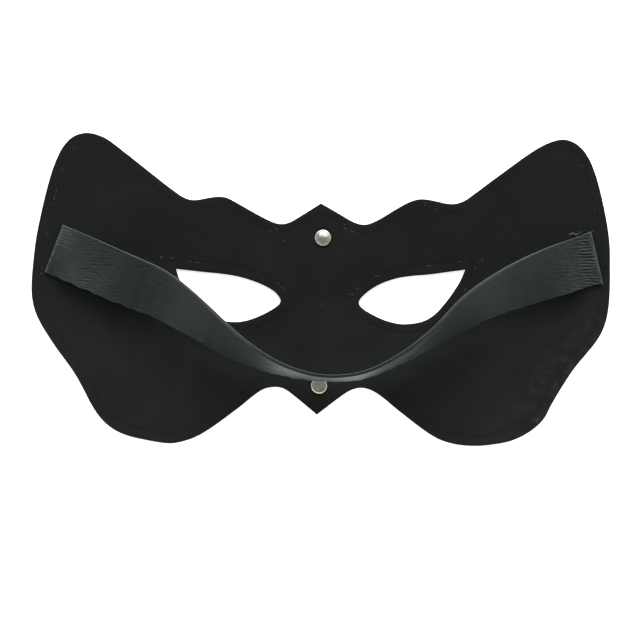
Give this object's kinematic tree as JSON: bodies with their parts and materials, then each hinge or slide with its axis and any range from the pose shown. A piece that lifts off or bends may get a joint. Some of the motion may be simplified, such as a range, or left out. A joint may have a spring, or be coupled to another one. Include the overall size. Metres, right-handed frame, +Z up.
{
  "type": "eye mask",
  "caption": "Wide scalloped faux leather eye mask lying face down, with almond eye holes, small metal rivets and a soft elastic strap sewn to its back.",
  "frame": {"origin": "on the surface that the mask lies on, under the middle of its outline", "axes": "+X along the mask's length, to the right as its back is seen with the brow away; +Y towards the brow; +Z up, out of the lining"},
  "size_m": [0.2309, 0.1244, 0.0294],
  "materials": {
    "face_leather": "satin, fine pebble grain",
    "lining": "matt suede-like nap",
    "strap_band": "soft satin, ribbed near the sewn ends",
    "nickel": "worn nickel plate"
  },
  "bodies": {
    "root": {"front_cover": "face_leather", "back_lining": "lining", "strap": "strap_band", "rivet_top_base": "nickel", "rivet_top_cap": "nickel", "rivet_bottom_base": "nickel", "rivet_bottom_cap": "nickel"}
  },
  "joints": []
}
